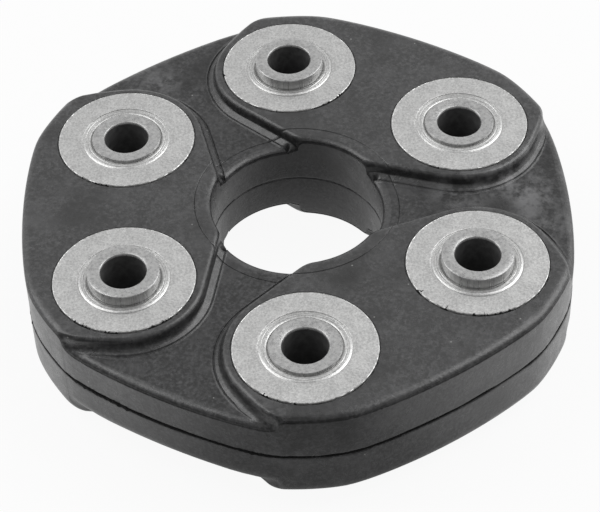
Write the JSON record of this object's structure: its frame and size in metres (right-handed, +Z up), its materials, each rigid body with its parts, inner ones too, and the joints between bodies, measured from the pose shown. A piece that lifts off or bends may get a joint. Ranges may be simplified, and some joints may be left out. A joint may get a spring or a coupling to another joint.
{
  "type": "driveshaft flex disc",
  "caption": "Flexible rubber coupling disc with thick and thin sectors in turn, steel bolt sleeves with locating collars, support washers, cord loops inside and a centre hole.",
  "frame": {"origin": "on the disc's axis at its middle plane, where the mould halves part", "axes": "+Z up along the disc's axis; +Y from the axis to one of the three sleeves whose collar faces up; +X to the middle of a thin sector"},
  "size_m": [0.1524, 0.1586, 0.037],
  "materials": {
    "rubber": "matt moulded black rubber",
    "sleeve_steel": "turned steel",
    "washer_zinc": "fine matt zinc plate",
    "cord": "wound polyester cord"
  },
  "bodies": {
    "root": {"rubber_disc": "rubber", "sleeve_1": "sleeve_steel", "sleeve_2": "sleeve_steel", "sleeve_3": "sleeve_steel", "sleeve_4": "sleeve_steel", "sleeve_5": "sleeve_steel", "sleeve_6": "sleeve_steel", "upper_washer_1": "washer_zinc", "upper_washer_2": "washer_zinc", "upper_washer_3": "washer_zinc", "upper_washer_4": "washer_zinc", "upper_washer_5": "washer_zinc", "upper_washer_6": "washer_zinc", "lower_washer_1": "washer_zinc", "lower_washer_2": "washer_zinc", "lower_washer_3": "washer_zinc", "lower_washer_4": "washer_zinc", "lower_washer_5": "washer_zinc", "lower_washer_6": "washer_zinc", "upper_drive_loop_1": "cord", "upper_drive_loop_2": "cord", "upper_drive_loop_3": "cord", "lower_drive_loop_1": "cord", "lower_drive_loop_2": "cord", "lower_drive_loop_3": "cord", "coast_loop_1": "cord", "coast_loop_2": "cord", "coast_loop_3": "cord"}
  },
  "joints": []
}
